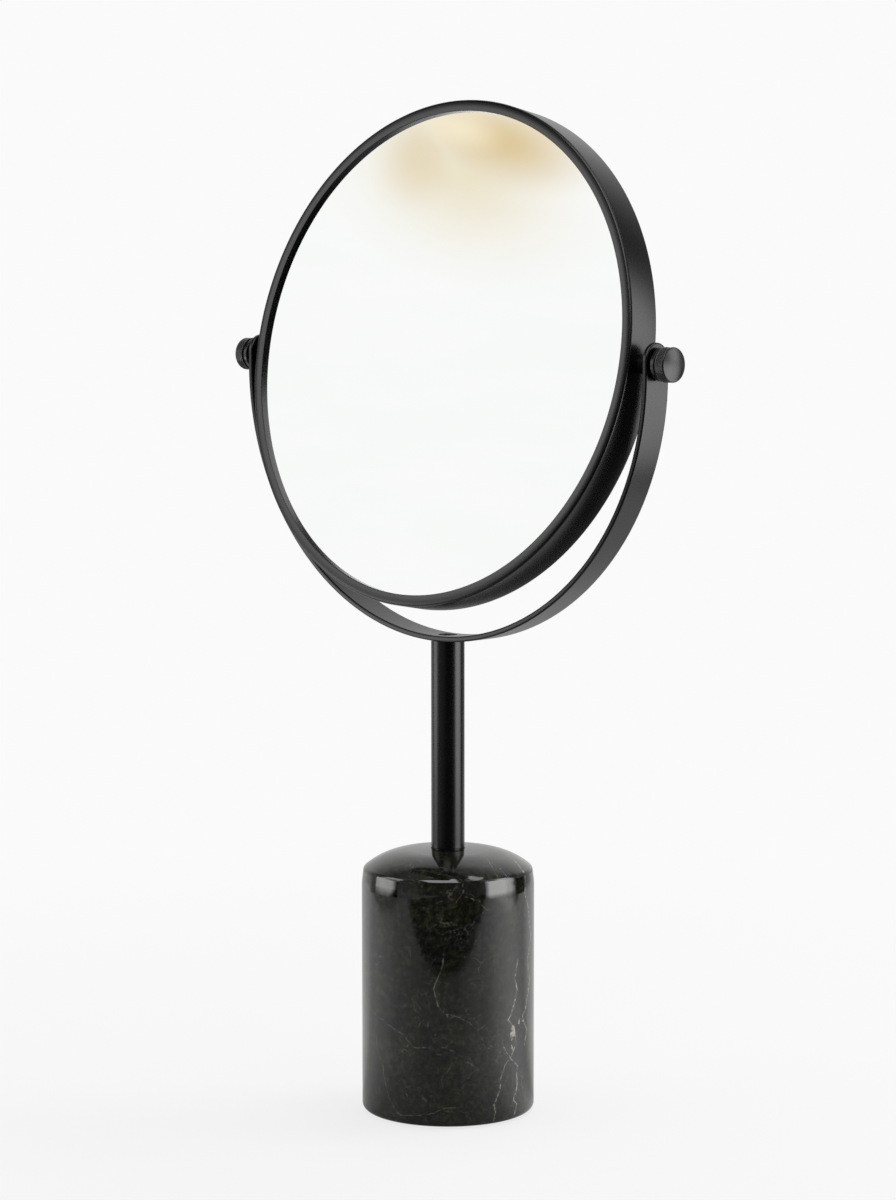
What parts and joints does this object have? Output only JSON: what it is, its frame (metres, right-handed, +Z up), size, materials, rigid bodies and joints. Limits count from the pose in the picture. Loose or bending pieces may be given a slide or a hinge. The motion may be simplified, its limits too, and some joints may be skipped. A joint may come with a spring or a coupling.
{
  "type": "table mirror",
  "caption": "Round double-sided table mirror in a slim metal hoop, tilting in a U-shaped yoke with knurled knobs, on a stem and a domed cylindrical stone base.",
  "frame": {"origin": "centre of the pad's underside, on the surface that the base stands on, below the stem", "axes": "+Z up along the stem; X along the pivots, with the right knob at +X; the front glass faces -Y"},
  "size_m": [0.2894, 0.086, 0.5016],
  "materials": {
    "marble": "polished dark stone with fine white veins",
    "felt": "black felt",
    "black_paint": "satin black powder coat",
    "knob_black": "satin black, knurled grip",
    "black_steel": "black oxide",
    "zinc_steel": "zinc plated",
    "mirror_glass": "silvered glass",
    "nylon": "black nylon",
    "foam": "closed-cell foam"
  },
  "bodies": {
    "stand": {"marble_base": "marble", "base_pad": "felt", "base_stud": "zinc_steel", "base_washer": "zinc_steel", "base_spring_washer": "zinc_steel", "base_nut": "zinc_steel", "stem_tube": "black_paint", "stem_lower_plug": "zinc_steel", "stem_upper_plug": "zinc_steel", "yoke": "black_paint", "yoke_screw": "black_steel"},
    "mirror": {"mirror_band": "black_paint", "rear_bezel": "black_paint", "front_glass": "mirror_glass", "rear_glass": "mirror_glass", "glass_spacer": "foam", "pivot_stud_left": "black_steel", "pivot_stud_right": "black_steel", "pivot_sleeve_left": "black_steel", "pivot_sleeve_right": "black_steel", "inner_washer_left": "nylon", "inner_washer_right": "nylon"},
    "left_washer": {"outer_washer_left": "nylon"},
    "right_washer": {"outer_washer_right": "nylon"},
    "left_knob": {"knob_left": "knob_black"},
    "right_knob": {"knob_right": "knob_black"}
  },
  "joints": [
    {"name": "mirror_tilt", "type": "hinge", "parent": "stand", "child": "mirror", "pos_m": [0, 0, 0.3753], "axis": [1, 0, 0], "continuous": true},
    {"name": "left_washer_travel", "type": "slide", "parent": "mirror", "child": "left_washer", "axis": [-1, 0, 0], "range_m": [0, 0.0064]},
    {"name": "left_knob_turn", "type": "hinge", "parent": "left_washer", "child": "left_knob", "pos_m": [-0.1393, 0, 0.3753], "axis": [-1, 0, 0], "range_deg": [0, 2880]},
    {"name": "right_washer_travel", "type": "slide", "parent": "mirror", "child": "right_washer", "axis": [1, 0, 0], "range_m": [0, 0.0064]},
    {"name": "right_knob_turn", "type": "hinge", "parent": "right_washer", "child": "right_knob", "pos_m": [0.1393, 0, 0.3753], "axis": [1, 0, 0], "range_deg": [0, 2880]}
  ],
  "couplings": [
    {"joint": "left_washer_travel", "follows": "left_knob_turn", "m_per_rad": 0.0001273},
    {"joint": "right_washer_travel", "follows": "right_knob_turn", "m_per_rad": 0.0001273}
  ]
}
